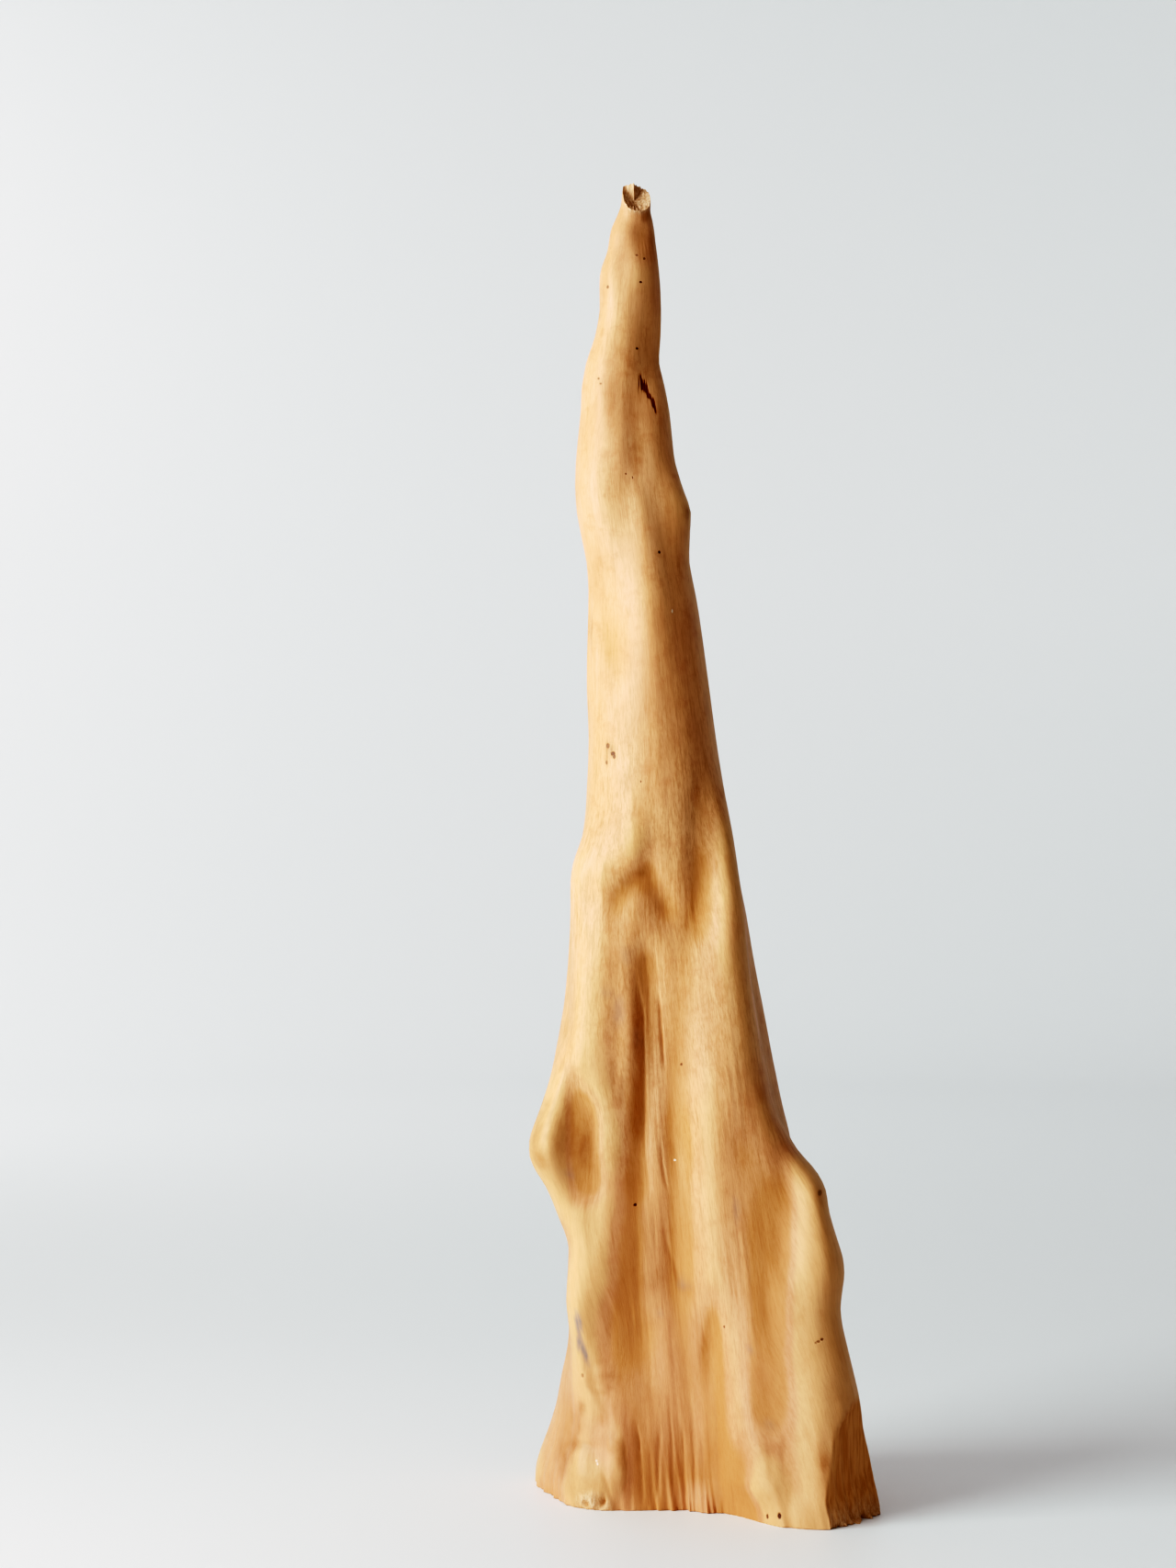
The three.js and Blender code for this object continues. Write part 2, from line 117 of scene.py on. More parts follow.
# the ribs and hollows of the front: how wide each is to either side of its middle, then points
# down its middle, with x, z and how far it stands out there, all in millimetres
FORMS = [
    ("hollow under the tip", 7, [(-54, 858, 0), (-54, 841, -3.5), (-54, 824, 0)]),
    ("left swelling of the tip", 9, [(-65, 836, 0), (-65, 821, 2), (-65, 806, 0)]),
    ("flat right side of the neck", 11,
     [(-34, 838, 0), (-33, 815, -3.5), (-35, 798, -6.5), (-36, 778, -6.5), (-36, 760, -5),
      (-34, 738, -2.5), (-33, 722, 0)]),
    ("rib over the second bend", 9, [(-56, 797, 0), (-56, 778, 1.6), (-56, 760, 0)]),
    ("left shoulder of the bend", 9,
     [(-66, 792, 0.5), (-67, 762, 2), (-68, 742, 6), (-69, 727, 1.5), (-70, 712, 0)]),
    ("dimple beside the gash", 9, [(-46, 768, 0), (-46, 752, -4), (-46, 736, 0)]),
    ("right side below the gash", 12,
     [(-29, 740, 0), (-29, 715, -2.3), (-29, 690, -1.5), (-30, 672, 0)]),
    ("left swelling below the bend", 13,
     [(-77, 722, 0), (-80, 702, 4), (-81, 682, 4), (-80, 664, 1), (-79, 648, 0)]),
    ("shallow middle of the trunk", 9,
     [(-53, 712, 0), (-53, 682, -2), (-53, 656, -2), (-54, 634, 0)]),
    ("right rib of the trunk", 12,
     [(-34, 682, 0), (-34, 656, 3), (-34, 600, 3.3), (-32, 575, 2), (-31, 520, 0)]),
    ("long flat of the trunk's left", 15,
     [(-70, 668, 0), (-71, 640, -4), (-70, 620, -7), (-69, 600, -11.5), (-67, 580, -13.5),
      (-66, 560, -7.5), (-65, 540, -2.2), (-65, 515, 0)]),
    ("rib above the valley's right", 8,
     [(-12, 505, 0), (-10, 480, 2), (-8, 460, 3.5), (-8, 440, 0.5), (-8, 428, 0)]),
    ("hollow right of that rib", 8, [(7, 492, 0), (7, 460, -1.7), (5, 425, -2.3), (4, 380, 0)]),
    ("brow of the valley", 12,
     [(-52, 488, 0), (-50, 460, 4.5), (-43, 440, 6), (-42, 424, 2), (-45, 405, 0)]),
    ("small dent of the brow", 6, [(-24, 455, 0), (-23, 438, -1.5), (-22, 422, 0)]),
    ("small swelling in the brow", 6, [(-29, 425, 0), (-29, 410, 3.5), (-29, 395, 0)]),
    ("dimple under the brow", 8, [(-40, 417, 0), (-40, 405, -2.4), (-40, 393, 0)]),
    ("left swelling at the brow", 9,
     [(-85, 452, 0), (-84, 436, 4), (-84, 420, 0.5), (-87, 404, 1.5), (-88, 385, 0)]),
    ("dent inside that swelling", 6, [(-77, 442, 0), (-77, 418, -4), (-77, 394, 0)]),
    ("low rib of the right side", 7, [(14, 412, 0), (14, 386, 1.6), (14, 360, 0)]),
    ("left lip of the valley", 9,
     [(-46, 398, 0), (-50, 382, 3), (-48, 360, 5), (-48, 320, 7), (-49, 300, 6.5), (-49, 280, 4),
      (-49, 252, 0.5), (-50, 190, 1.5), (-52, 150, 0)]),
    ("valley", 16,
     [(-8, 447, 0), (-11, 420, -5), (-13, 400, -8), (-15, 360, -9), (-18, 320, -12),
      (-19, 290, -16), (-19, 260, -20), (-18, 240, -21), (-18, 220, -17), (-17, 190, -15),
      (-16, 150, -14), (-13, 115, -10), (-9, 90, -8), (-7, 60, -5), (-8, 20, -4.5), (-8, 0, -2)]),
    ("left branch of the valley", 12,
     [(-38, 165, 0), (-38, 135, -4), (-38, 118, -7), (-38, 100, -5.5), (-36, 80, -3),
      (-34, 52, 0)]),
    ("right branch of the valley", 8,
     [(5, 155, 0), (6, 132, -6), (6, 112, -9), (6, 98, -8), (7, 80, -5), (8, 50, -4), (7, 22, -4),
      (5, 0, -1)]),
    ("rib above the left knob", 9,
     [(-86, 372, 0.5), (-88, 342, 5), (-90, 322, 2), (-92, 305, 3), (-93, 285, 0)]),
    ("left knob", 14,
     [(-96, 325, 0), (-99, 302, 11), (-102, 282, 10), (-104, 258, 11), (-104, 238, 8),
      (-102, 218, 7), (-98, 198, 4.5), (-94, 175, 0)]),
    ("wall of the knob's hollow", 9,
     [(-80, 278, 0), (-80, 262, 5.5), (-80, 245, 5), (-80, 228, 2), (-80, 212, 0)]),
    ("hollow below the knob", 9, [(-74, 214, 0), (-75, 197, -5.5), (-78, 178, 0)]),
    ("left edge above the foot", 9, [(-88, 162, 0), (-87, 130, 6.5), (-86, 108, 4), (-85, 82, 0)]),
    ("right ridge of the left foot", 8, [(-58, 78, 0), (-57, 50, 3), (-58, 22, 4.5), (-58, 0, 2)]),
    ("left lobe of the foot", 12, [(-88, 52, 0), (-87, 30, 4), (-85, 8, 3)]),
    ("dimple of the left foot", 8, [(-73, 62, 0), (-73, 44, -3.5), (-73, 28, 0)]),
    ("swelling over the torn curls", 10, [(-71, 36, 0), (-71, 18, 3), (-71, 0, 1)]),
    ("knuckle right of the middle", 9, [(44, 294, 0), (44, 275, 4), (44, 256, 0)]),
    ("hollow left of the right rib", 8,
     [(54, 248, 0), (57, 225, -4), (56, 200, -3.5), (53, 178, -5), (52, 162, -0.5), (54, 145, 2.5),
      (55, 130, 2.5), (55, 104, 0)]),
    ("right rib of the foot", 11,
     [(72, 242, 0), (73, 223, 5), (80, 200, 5.5), (84, 178, 3.5), (85, 138, 0)]),
    ("middle lobe of the foot", 14,
     [(34, 185, 0.5), (35, 150, 3.5), (34, 125, 6.5), (32, 100, 9), (30, 80, 13), (29, 60, 17),
      (30, 40, 15), (30, 20, 12), (30, 0, 3)]),
    ("hollow right of that lobe", 10,
     [(60, 102, 0), (61, 75, -2), (58, 50, -2.5), (60, 20, -4), (60, 0, -1)]),
    ("brow of the axe cut", 13, [(91, 132, 0), (91, 101, 3), (91, 75, 0)]),
]

# folds, cracks and dents of the front: the line in x and z, its half width, its depth and how dark
# its painted shade is, all in millimetres; a lip is steep on its right, a dent is round
FOLDS = [
    ("dent", [(-60.5, 414), (-56, 419), (-50.6, 423)], 5.0, 0.8, 0.2),
    ("dent", [(-50.6, 423), (-44, 429), (-38, 431), (-32, 423), (-27.3, 408)], 5.5, 1.6, 0.35),
    ("lip", [(-48, 368), (-45, 352), (-41.5, 335), (-40.7, 300), (-40.5, 268), (-41, 240)],
     5.5, 1.7, 0.35),
    ("crease", [(-40, 376), (-39.2, 368)], 1.0, 0.7, 0.4),
    ("crease", [(-37.5, 362), (-37, 340), (-38.5, 320)], 1.2, 0.3, 0.15),
    ("lip", [(-30.2, 349), (-28.8, 330), (-27.6, 312), (-26, 296)], 1.8, 1.2, 0.55),
    ("crease", [(-57.2, 304), (-59.6, 297), (-60.8, 290), (-58, 284)], 1.8, 0.9, 0.1),
    ("dent", [(-52.5, 292), (-55, 284), (-54, 276)], 3.5, 0.8, 0.2),
    ("lip", [(-28.6, 252), (-28.1, 238), (-25.4, 218)], 1.7, 1.0, 0.4),
    ("crease", [(-27.5, 205), (-25.5, 180), (-15.7, 154), (-4, 135), (2.6, 109), (1.0, 98)],
     1.8, 0.7, 0.15),
    ("crease", [(-10.5, 137), (-6, 126), (-7.5, 112)], 1.2, 0.5, 0.25),
    ("crease", [(1.0, 112), (-2, 105), (-5.5, 106)], 1.2, 0.6, 0.3),
    ("crease", [(-33, 218), (-33.5, 195), (-33, 172)], 1.4, 0.4, 0.12),
    ("crease", [(-21, 130), (-22, 112), (-19.5, 96)], 1.3, 0.45, 0.15),
    ("crease", [(-44.5, 190), (-45.5, 160), (-43, 135)], 1.8, 0.5, 0.15),
    ("dent", [(-68, 146), (-61, 128), (-66, 108), (-74, 96)], 4.0, 1.0, 0.15),
    ("dent", [(-86, 118), (-77, 96), (-71, 74), (-63, 52)], 4.0, 0.9, 0.1),
    ("crease", [(-54.5, 52), (-53.8, 30), (-55.9, 8)], 1.6, 1.4, 0.55),
    ("crease", [(-44.6, 53), (-44.5, 42), (-44.4, 30)], 1.0, 0.7, 0.5),
    ("dent", [(-88.9, 121), (-85, 108), (-82.6, 100), (-80, 90), (-77.5, 82), (-73.4, 73),
              (-68.2, 64), (-65, 56), (-62, 44)], 2.4, -0.9, 0.0),
    ("dent", [(-69, 96), (-67, 87)], 6.5, -1.3, 0.0),
    ("dent", [(-78, 83), (-75, 79.5), (-71, 78), (-66, 79.5), (-62, 83)], 1.8, 0.8, 0.35),
    ("dent", [(-90, 39), (-86, 42), (-82, 43), (-76, 42)], 2.2, 1.0, 0.2),
    ("dent", [(-80, 56), (-74, 48)], 5.0, -1.1, 0.0),
    ("dent", [(-84, 34), (-83, 20)], 7.5, -1.0, 0.0),
    ("crease", [(-86.2, 57), (-84.5, 63), (-82.5, 71)], 1.1, 0.7, 0.25),
    ("crease", [(-69.3, 65), (-68.2, 56)], 1.0, 0.8, 0.55),
    ("crease", [(-70.3, 27), (-67, 18), (-65.1, 11)], 1.4, 1.2, 0.35),
    ("crease", [(-66.2, 14), (-64, 6), (-62.6, 0)], 1.1, 1.0, 0.4),
    ("crease", [(-46, 62), (-43, 34), (-42, 2)], 1.5, 1.2, 0.4),
    ("crease", [(-37, 44), (-36, 22), (-36.5, 2)], 1.1, 0.6, 0.25),
    ("crease", [(-30, 58), (-31, 30), (-31.5, 2)], 1.4, 1.0, 0.35),
    ("crease", [(-24, 84), (-21.5, 46), (-20.5, 2)], 1.3, 0.9, 0.35),
    ("crease", [(-15, 62), (-13.4, 34), (-12.6, 2)], 1.1, 0.8, 0.35),
    ("crease", [(-8.5, 74), (-6.6, 38), (-6.4, 2)], 1.2, 0.9, 0.4),
    ("crease", [(-2.2, 52), (-0.6, 26), (0.8, 2)], 1.0, 0.6, 0.3),
    ("crease", [(7, 84), (8.6, 46), (10, 4)], 1.2, 0.6, 0.25),
    ("crease", [(40, 62), (42, 46), (43, 28)], 1.4, 0.4, 0.15),
    ("crease", [(50, 60), (51.2, 44), (51.5, 24)], 1.4, 0.5, 0.2),
    ("dent", [(-66.6, 516), (-65, 513)], 1.2, 0.4, 0.7),
    ("dent", [(-62.6, 512), (-60.6, 508)], 1.4, 0.6, 0.9),
    ("dent", [(-65.8, 505), (-65.3, 502)], 1.0, 0.4, 0.6),
    ("dent", [(-11.8, 399), (-12.6, 395)], 1.0, 0.4, 0.5),
    ("crease", [(-13, 400), (-9, 404), (-6, 408)], 0.9, 0.3, 0.25),
    ("crease", [(-69, 379.5), (-62, 381)], 0.7, 0.25, 0.3),
    ("crease", [(-44.4, 342), (-40.8, 340.5)], 0.8, 0.25, 0.35),
]

# how much of its length a crease or a lip fades over at each end
FADE_SHARE = 0.2

# the dark gash below the second bend: x, z and its half width, in millimetres, from its top to
# the end of its tail
GASH = [(-42.6, 764, 0.8), (-41, 761, 1.6), (-39.6, 757.5, 2.1), (-38, 754.5, 1.2),
        (-36.2, 751.5, 1.2), (-34.6, 748.5, 1.4), (-33.2, 745, 0.9), (-31.8, 740.5, 0.3)]

# stains and scuffs of the front: the middle in x and z, the half width and half height, all in
# millimetres, and the strength
BROWN_STAINS = [
    (-49, 738, 8, 6, 0.35), (-52.5, 770, 5, 12, 0.3), (-45, 714, 6, 14, 0.5),
    (-39, 859, 7, 7, 0.5), (-38, 849, 5, 6, 0.4), (-38, 876, 5, 4, 0.6),
    (-10.6, 671.5, 3.5, 4, 0.8), (-24, 668, 6, 12, 0.35), (-60, 690, 12, 4, 0.2),
    (-5, 488, 3, 9, 0.35), (-3, 497, 5, 24, 0.22), (-9, 430, 9, 40, 0.12),
    (-44, 420, 9, 9, 0.3), (-33, 416, 6, 10, 0.3), (-46, 330, 5, 30, 0.3),
    (-46, 275, 6, 24, 0.35), (-105, 253, 5, 4, 0.4), (-80, 245, 5, 17, 0.5),
    (-97, 248, 15, 20, 0.36), (-112, 250, 8, 24, 0.5), (-69, 246, 6, 30, 0.2),
    (-104, 268, 8, 8, 0.25), (-12, 300, 5, 12, 0.12), (36, 282, 6, 3.5, 0.5),
    (48, 282, 4, 6, 0.35), (22, 345, 10, 20, 0.1), (13, 216, 3, 3, 0.35),
    (15, 203, 2.5, 3, 0.25), (-34, 154, 8, 6, 0.3), (-10, 150, 9, 6, 0.3),
    (-30, 160, 5, 3, 0.4), (-44, 150, 5, 26, 0.3), (-68, 90, 6, 5, 0.45),
    (-76, 87, 5, 5, 0.3), (-83, 59, 5, 7, 0.3), (-64, 46, 5, 9, 0.4),
    (-81.6, 67.5, 3.4, 5, 0.6), (-87.5, 55, 3.6, 6, 0.5), (-89, 45, 4, 6, 0.5),
    (-92.5, 36, 4, 6, 0.45), (-96, 26, 4, 9, 0.4), (-84, 42, 6, 3, 0.35),
    (-61, 90, 4, 4, 0.5), (-68.5, 100, 5, 3.5, 0.4), (-56, 38, 4, 10, 0.45),
    (-62, 20, 4, 18, 0.3), (-20, 30, 34, 26, 0.14), (41.5, 50.6, 4, 4, 0.3),
    (50.7, 51.4, 2.4, 8, 0.4), (53.8, 26, 2.4, 14, 0.35), (76.2, 217, 4, 5, 0.3),
    (76.5, 50, 4, 8, 0.4), (78, 34, 3.6, 10, 0.4), (30, 95, 6, 12, 0.1), (24, 60, 6, 30, 0.1),
    (-85, 20, 12, 14, 0.2), (-100, 26, 10, 20, 0.22), (-96, 60, 8, 26, 0.25),
]
GREY_SCUFFS = [
    (20.5, 207, 2.4, 10, 0.35), (-85.7, 130.5, 1.3, 3.5, 0.6), (-84.7, 127, 2.0, 4.5, 0.85),
    (-83.6, 123, 1.3, 4, 0.8), (-84.7, 115.5, 1.3, 3.5, 0.55), (-83.5, 111, 2.0, 4.5, 0.75),
    (-81.6, 107.5, 1.5, 3.5, 0.8), (-80.3, 104, 1.4, 4, 0.85), (-79, 100.5, 1.2, 4, 0.65),
    (-90, 229, 3.2, 3.6, 0.35), (-14, 153, 4, 4, 0.35), (-30, 134, 3, 2.4, 0.3),
    (30, 114, 2, 3, 0.3), (43, 66, 5, 4, 0.25), (-58, 337, 4, 10, 0.3),
    (-52, 375, 6, 6, 0.2), (-65, 350, 5, 4, 0.2), (-45, 318, 3, 6, 0.2),
]
PINK_STAINS = [
    (-52, 700, 14, 16, 0.3), (-68, 735, 7, 30, 0.35), (-54, 842, 6, 20, 0.3),
    (-63, 770, 6, 18, 0.25), (-40, 545, 8, 40, 0.25), (-50, 600, 10, 40, 0.2),
    (-58, 360, 9, 30, 0.3), (-70, 300, 8, 16, 0.2), (-60, 200, 9, 30, 0.25),
    (-14, 290, 12, 20, 0.2), (-98, 40, 8, 34, 0.5), (-84, 50, 8, 20, 0.3),
    (-65, 44, 6, 16, 0.5), (-62, 30, 6, 14, 0.3), (-82, 80, 9, 18, 0.4),
    (34, 100, 12, 20, 0.2), (20, 395, 10, 20, 0.25),
    (60, 200, 9, 26, 0.2), (76, 38, 6, 20, 0.4), (-2, 66, 6, 30, 0.3), (40, 282, 10, 6, 0.2),
]

# small round marks: the middle in x and z, the half width, the half height and the darkness
PINHOLES = [
    (-44.7, 847.6, 1.0, 0.8, 0.6), (-39.7, 845.4, 0.9, 0.9, 0.7), (-42.3, 828.7, 0.9, 0.8, 1.0),
    (-64.6, 825.9, 0.8, 1.2, 0.7), (-44.8, 783.9, 0.9, 0.9, 1.0), (-70.8, 763.0, 0.7, 0.7, 0.6),
    (-69.4, 759.4, 0.8, 0.6, 0.5), (-52.4, 697.6, 0.5, 0.7, 0.8), (-48.0, 695.2, 0.5, 1.0, 0.7),
    (-30.1, 644.7, 0.8, 1.1, 1.0), (-42.8, 490.8, 0.5, 0.8, 0.7), (-15.4, 301.6, 0.8, 0.9, 0.8),
    (-46.2, 207.0, 1.2, 1.0, 1.0), (12.8, 127.0, 0.6, 1.0, 0.7), (47.9, 7.5, 1.2, 2.2, 1.0),
    (40.4, 5.5, 0.7, 1.8, 0.9), (-64.6, 514.8, 1.1, 1.9, 0.7), (-61.2, 509.6, 1.5, 1.5, 0.85),
    (-60.4, 507.6, 1.0, 1.6, 0.8), (-65.5, 503.6, 0.8, 1.5, 0.6), (72.7, 119.7, 1.0, 0.7, 0.4),
    (74.4, 120.5, 1.4, 0.8, 0.6), (76.8, 121.8, 1.2, 0.9, 0.75), (76.2, 217.0, 1.5, 1.9, 0.5),
    (-81.6, 90.0, 0.9, 1.4, 0.45),
]
WHITE_SPECKS = [
    (-19.7, 236.8, 0.9, 0.7, 0.9), (-21.5, 605.2, 0.5, 1.4, 0.8), (-72.3, 33.4, 0.7, 0.8, 0.5),
    (-71.6, 31.6, 0.6, 0.9, 0.5),
]


def pith_at(heights):
    """x and y of the pith at some heights"""
    return (np.interp(heights, PITH[:, 0], PITH[:, 1]),
            np.interp(heights, PITH[:, 0], PITH[:, 2]))


def rim_at(turns):
    """height of the broken rim in some directions"""
    degrees = (np.degrees(turns) + 180) % 360 - 180
    return np.interp(degrees, RIM[:, 0], RIM[:, 1])


def smoothed(field, across, along):
    """a field on the skin's samples, smoothed across the grain and along it, in samples"""
    reach = int(3 * across) + 1
    weights = np.exp(-0.5 * (np.arange(-reach, reach + 1) / across) ** 2)
    weights /= weights.sum()
    field = sum(w * np.roll(field, s - reach, 1) for s, w in enumerate(weights))
    reach = int(3 * along) + 1
    weights = np.exp(-0.5 * (np.arange(-reach, reach + 1) / along) ** 2)
    weights /= weights.sum()
    padded = np.pad(field, ((reach, reach), (0, 0)), "reflect", reflect_type="odd")
    return sum(w * padded[s:s + len(field)] for s, w in enumerate(weights))


def grown_noise(seed, across, along):
    """even noise on the skin's samples with a spread of 1, coarser along the grain"""
    noise = np.random.default_rng(seed).standard_normal((len(nominal), DIRECTIONS))
    noise = smoothed(noise, across, along)
    return (noise - noise.mean()) / noise.std()


def chip_depths(points):
    """how far outside each face of the chip some points are"""
    depths = []
    for point, out in CHIP_FACES:
        out = np.array(out) / np.linalg.norm(out)
        depths.append((points - np.array(point)) @ out)
    return np.array(depths)


def line_shares(line, x, z):
    """signed distance of the samples from a line in x and z, and how far along it they are"""
    line = np.array(line, float)
    nearest = np.full(x.shape, 1e9)
    signed = np.zeros(x.shape)
    along = np.zeros(x.shape)
    lengths = np.linalg.norm(np.diff(line, axis=0), axis=1)
    starts = np.concatenate([[0], np.cumsum(lengths)])
    for k, (a, b) in enumerate(zip(line[:-1], line[1:])):
        way = (b - a) / lengths[k]
        run = (x - a[0]) * way[0] + (z - a[1]) * way[1]
        held = np.clip(run, 0, lengths[k])
        dx, dz = x - a[0] - held * way[0], z - a[1] - held * way[1]
        far = np.hypot(dx, dz)
        closer = far < nearest
        nearest[closer] = far[closer]
        signed[closer] = (np.where(dx > 0, far, -far))[closer]
        along[closer] = ((starts[k] + held) / starts[-1])[closer]
    return signed, along


# the solid's skin, sampled outwards from the pith
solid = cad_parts["root_knee"].data
tree = BVHTree.FromPolygons([v.co for v in solid.vertices], [p.vertices for p in solid.polygons])
nominal = np.linspace(0, HEIGHT, round(HEIGHT / SAMPLE_STEP) + 1)
turns = np.pi / 2 + np.arange(DIRECTIONS) * 2 * np.pi / DIRECTIONS
broken = np.clip((nominal - HEIGHT + BREAK_REACH) / BREAK_REACH, 0, 1)
heights = nominal[:, None] - broken[:, None] * (HEIGHT - rim_at(turns))
low_rim = HEIGHT - TIP_SLANT * (0.5 - 0.5 * np.cos(turns - 1.9)) ** 1.6 - TIP_CLEAR
sampled = np.clip(heights, 0.0005, low_rim)
pith_x, pith_y = pith_at(sampled)
radius = np.zeros_like(sampled)
for i, row in enumerate(sampled):
    for j, height in enumerate(row):
        way = Vector((math.cos(turns[j]), math.sin(turns[j]), 0))
        radius[i, j] = tree.ray_cast(Vector((pith_x[i, j], pith_y[i, j], height)), way)[3]

# the wood that the chip left with, put back along a curve that runs on from both sides
places = np.stack([pith_x + radius * np.cos(turns), pith_y + radius * np.sin(turns), sampled], 2)
depths = chip_depths(places)
on_chip = (np.abs(depths) < 0.0003).any(0) & (depths > -0.0004).all(0) & (sampled < 0.1)
for i in np.nonzero(on_chip.sum(1) > 3)[0]:
    first, last = np.nonzero(on_chip[i])[0][[0, -1]] + np.array([-3, 3])
    share = np.linspace(0, 1, last - first + 1)
    rise_in = (radius[i, first] - radius[i, first - 8]) / 8 * (last - first)
    rise_out = (radius[i, last + 8] - radius[i, last]) / 8 * (last - first)
    radius[i, first:last + 1] = (
        (2 * share**3 - 3 * share**2 + 1) * radius[i, first]
        + (share**3 - 2 * share**2 + share) * rise_in
        + (3 * share**2 - 2 * share**3) * radius[i, last]
        + (share**3 - share**2) * rise_out
    )

# the solid's plain gash is filled, to be cut again below, and its facets are smoothed away
for i in np.nonzero(np.abs(nominal - 0.754) < 0.016)[0]:
    gash = np.nonzero((np.abs(places[i, :, 0] + 0.037) < 0.007) & (places[i, :, 1] < -0.012))[0]
    first, last = gash[[0, -1]]
    radius[i, first:last + 1] = np.interp(
        np.arange(first, last + 1), [first, last], radius[i, [first, last]])
faceted = radius
fine, middling, broad = (smoothed(radius, a, b) for a, b in ((3.0, 1.5), (4.5, 3.0), (4.5, 4.2)))
foot_share = np.clip((0.47 - nominal) / 0.06, 0, 1)[:, None]
tip_share = np.clip((nominal - 0.82) / 0.03, 0, 1)[:, None]
radius = middling * foot_share + broad * (1 - foot_share)
radius = radius * (1 - tip_share) + fine * tip_share
end_share = np.clip((nominal - 0.855) / 0.015, 0, 1)[:, None]
radius = radius * (1 - end_share) + smoothed(radius, 16, 3) * end_share
pith_x, pith_y = pith_at(heights)

# the knobs of both sides keep the height that the smoothing took
radius = radius + smoothed(faceted - radius, 20, 1.2) * np.cos(turns) ** 4
left_out, right_out = (np.interp(nominal * 1000, *np.array(side).T)[:, None] / 1000
                       for side in (LEFT_SIDE, RIGHT_SIDE))
radius = radius + left_out * np.clip(-np.cos(turns), 0, 1) ** 4
radius = radius + right_out * np.clip(np.cos(turns), 0, 1) ** 4

# the folds, the gash, the grain and the stains of the skin
x = (pith_x + radius * np.cos(turns)) * 1000
y = (pith_y + radius * np.sin(turns)) * 1000
z = heights * 1000
front = np.clip(0.3 - 3 * np.sin(turns), 0, 1) * np.ones_like(z)
by_the_cut = np.clip((x - 70) / 10, 0, 1) * np.clip((100 - z) / 14, 0, 1)
swell = np.zeros_like(z)
for name, across, line in FORMS:
    middle_x, middle_z, out = np.array(line[::-1], float).T
    at_z = np.interp(z, middle_z, middle_x)
    swell += np.interp(z, middle_z, out, 0, 0) * np.exp(-((x - at_z) / across) ** 2)
swell = smoothed(swell, 1, 4)
swell *= np.clip(-2.5 * np.sin(turns), 0, 1) * np.clip(z / 22, 0, 1) * (1 - by_the_cut)
out_ward = radius - swell * np.sin(turns) / 1000
# how hollow the skin is, used below for painted shade in the hollows, a painted highlight on the
# ridges and roughness
hollow = np.clip((smoothed(out_ward, 14, 6) - out_ward) * 400, -1, 1)
painted_recess_shade = np.zeros_like(z)
relief = np.zeros_like(z)
for shape, line, width, depth, darkness in FOLDS:
    signed, along = line_shares(line, x, z)
    if shape == "dent":
        profile = np.exp(-(signed / width) ** 2)
    elif shape == "crease":
        profile = np.exp(-np.sqrt(signed**2 + (0.2 * width) ** 2) / width + 0.2)
    else:
        profile = np.exp(-np.where(signed < 0, signed / width, signed / (0.28 * width)) ** 2)
    if shape != "dent":
        profile *= np.clip(np.minimum(along, 1 - along) / FADE_SHARE, 0, 1)
    profile *= front
    relief -= profile * depth
    # painted shade along the creases, lips and dents
    painted_recess_shade = np.maximum(painted_recess_shade, profile * darkness)

gash_line = np.array(GASH)
signed, along = line_shares(gash_line[:, :2], x, z)
starts = np.concatenate([[0], np.cumsum(np.hypot(*np.diff(gash_line[:, :2], axis=0).T))])
half = np.interp(along, starts / starts[-1], gash_line[:, 2])
ragged = np.clip(1 + 0.5 * grown_noise(11, 1.3, 1.0), 0.4, 1.9)
gash = front * np.clip(1.5 - np.abs(signed) / (half * ragged), 0, 1)
relief -= gash * half * 0.25

flutes = 0.7 * grown_noise(1, 1.6, 14) + 0.5 * grown_noise(3, 1.1, 5)
ripple = grown_noise(2, 9, 12)
flute_height = np.interp(nominal, [0, 0.03, 0.09, 0.3, 0.45, 0.8, 0.9],
                         [0.26, 0.22, 0.14, 0.07, 0.035, 0.02, 0.02])[:, None]
ripple_height = np.interp(nominal, [0, 0.1, 0.9], [0.3, 0.2, 0.14])[:, None]
thick = np.clip(radius / 0.05, 0, 1) ** 1.5
relief += (flutes * flute_height + ripple * ripple_height) * thick


def blots(table, seed):
    """how strong a kind of stain is at each sample, with ragged borders"""
    ragged = grown_noise(seed, 3, 3)
    stain = np.zeros_like(z)
    for middle_x, middle_z, across, up, strength in table:
        far = np.hypot((x - middle_x) / across, (z - middle_z) / up)
        stain += front * strength * np.clip(1.4 - far + 0.22 * ragged, 0, 1)
    return np.clip(stain, 0, 1)


brown = blots(BROWN_STAINS, 21)
grey = blots(GREY_SCUFFS, 22)
pink = blots(PINK_STAINS, 23)

# the torn curls of wood at the foot of the front left ridge: the middle in x and z, the reach
# across and up and how far out, all in millimetres
CURLS = [
    (-76, 11, 8, 6, 1.0), (-83.7, 12.6, 2.0, 2.6, 1.2), (-82.8, 5.5, 1.2, 2.8, 1.5),
    (-80.6, 8.2, 2.2, 1.6, 1.3), (-78.4, 5, 1.2, 2.8, 1.4), (-80.6, 3.8, 1.1, 1.8, -2.4),
    (-76.1, 3, 1.1, 3.6, 1.7), (-73.8, 2.4, 1.0, 3.0, 1.3), (-70.4, 5.8, 1.7, 2.4, -3.2),
    (-72.1, 3.4, 0.9, 1.8, -1.6), (-68.9, 9.4, 0.9, 3.2, -1.7), (-67.2, 2.6, 1.4, 3.2, 1.5),
    (-64.7, 2.4, 1.0, 3.2, 1.0), (-75, 9.5, 1.4, 3.4, 0.8), (-86.5, 5, 1.2, 4.0, 0.8),
]
lumps = np.zeros_like(z)
for middle_x, middle_z, across, up, out in CURLS:
    lumps += out * np.exp(-((x - middle_x) / across) ** 2 - ((z - middle_z) / up) ** 2)
lumps *= front * (y < -20)
